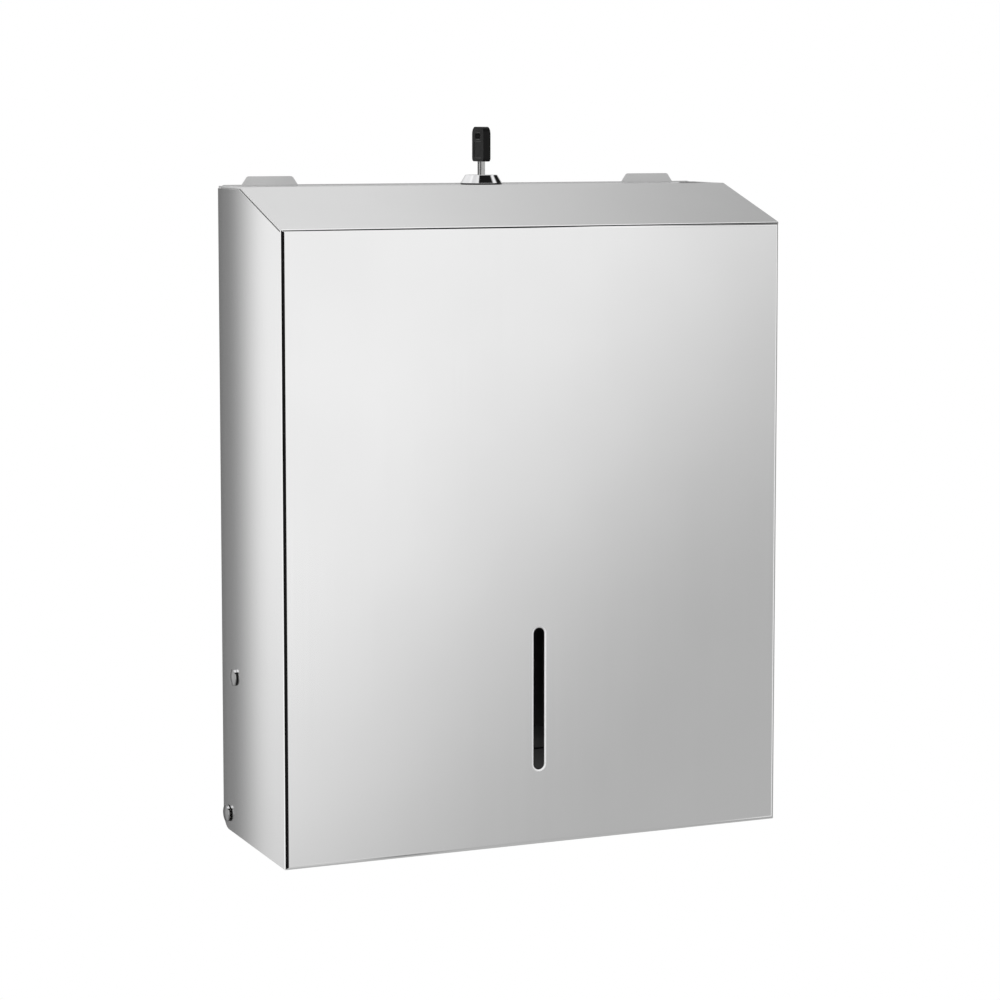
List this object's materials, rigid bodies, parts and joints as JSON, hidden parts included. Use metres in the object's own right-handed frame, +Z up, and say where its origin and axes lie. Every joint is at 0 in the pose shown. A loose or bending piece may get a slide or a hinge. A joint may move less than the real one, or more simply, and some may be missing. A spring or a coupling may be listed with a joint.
{
  "type": "wall-mounted towel dispenser",
  "caption": "Wall-mounted folded-towel dispenser in polished sheet steel: a cover with a sloped top and level window tips forward on lower pivots and is held by a keyed cam lock.",
  "frame": {"origin": "centre of the four wall screw holes, on the wall plane behind the back plate, at half the height of the cover", "axes": "+Z up, +Y into the wall, -Y the way the front panel faces, +X to the right as seen by someone facing the front"},
  "size_m": [0.2852, 0.104, 0.3749],
  "materials": {
    "cover_steel": "bright polished",
    "plate_steel": "satin mill finish",
    "rivet_steel": "satin",
    "bolt_steel": "polished, dark rim",
    "zinc_steel": "zinc plated",
    "white_nylon": "moulded",
    "lock_chrome": "polished",
    "wafer_brass": "stamped",
    "key_nickel": "nickel plated",
    "key_plastic": "moulded"
  },
  "bodies": {
    "wall_body": {"back_plate": "plate_steel", "towel_tray": "plate_steel", "tray_rivets": "rivet_steel", "lock_strike": "plate_steel", "strike_rivets": "rivet_steel", "pivot_bolt_left": "bolt_steel", "pivot_bolt_right": "bolt_steel", "pivot_nut_left": "zinc_steel", "pivot_nut_right": "zinc_steel"},
    "cover": {"front_cover": "cover_steel", "pivot_bush_left": "white_nylon", "pivot_bush_right": "white_nylon", "stop_bolt_left": "bolt_steel", "stop_bolt_right": "bolt_steel", "stop_sleeve_left": "white_nylon", "stop_sleeve_right": "white_nylon", "stop_keeper_left": "zinc_steel", "stop_keeper_right": "zinc_steel", "stop_nut_left": "zinc_steel", "stop_nut_right": "zinc_steel", "lock_barrel": "lock_chrome", "lock_washer": "zinc_steel", "lock_nut": "zinc_steel"},
    "lock_core": {"lock_plug": "lock_chrome", "lock_wafers": "wafer_brass", "lock_cam": "zinc_steel", "cam_washer": "zinc_steel", "cam_screw": "zinc_steel"},
    "key": {"key_blade": "key_nickel", "key_head": "key_plastic"}
  },
  "joints": [
    {"name": "cover_hinge", "type": "hinge", "parent": "wall_body", "child": "cover", "pos_m": [0, -0.0095, -0.163], "axis": [1, 0, 0], "range_deg": [0, 50]},
    {"name": "lock_turn", "type": "hinge", "parent": "cover", "child": "lock_core", "pos_m": [0, -0.02601, 0.172], "axis": [0, 0, 1], "range_deg": [0, 90]},
    {"name": "key_slide", "type": "slide", "parent": "lock_core", "child": "key", "axis": [0, 0, 1], "range_m": [0, 0.025]}
  ]
}
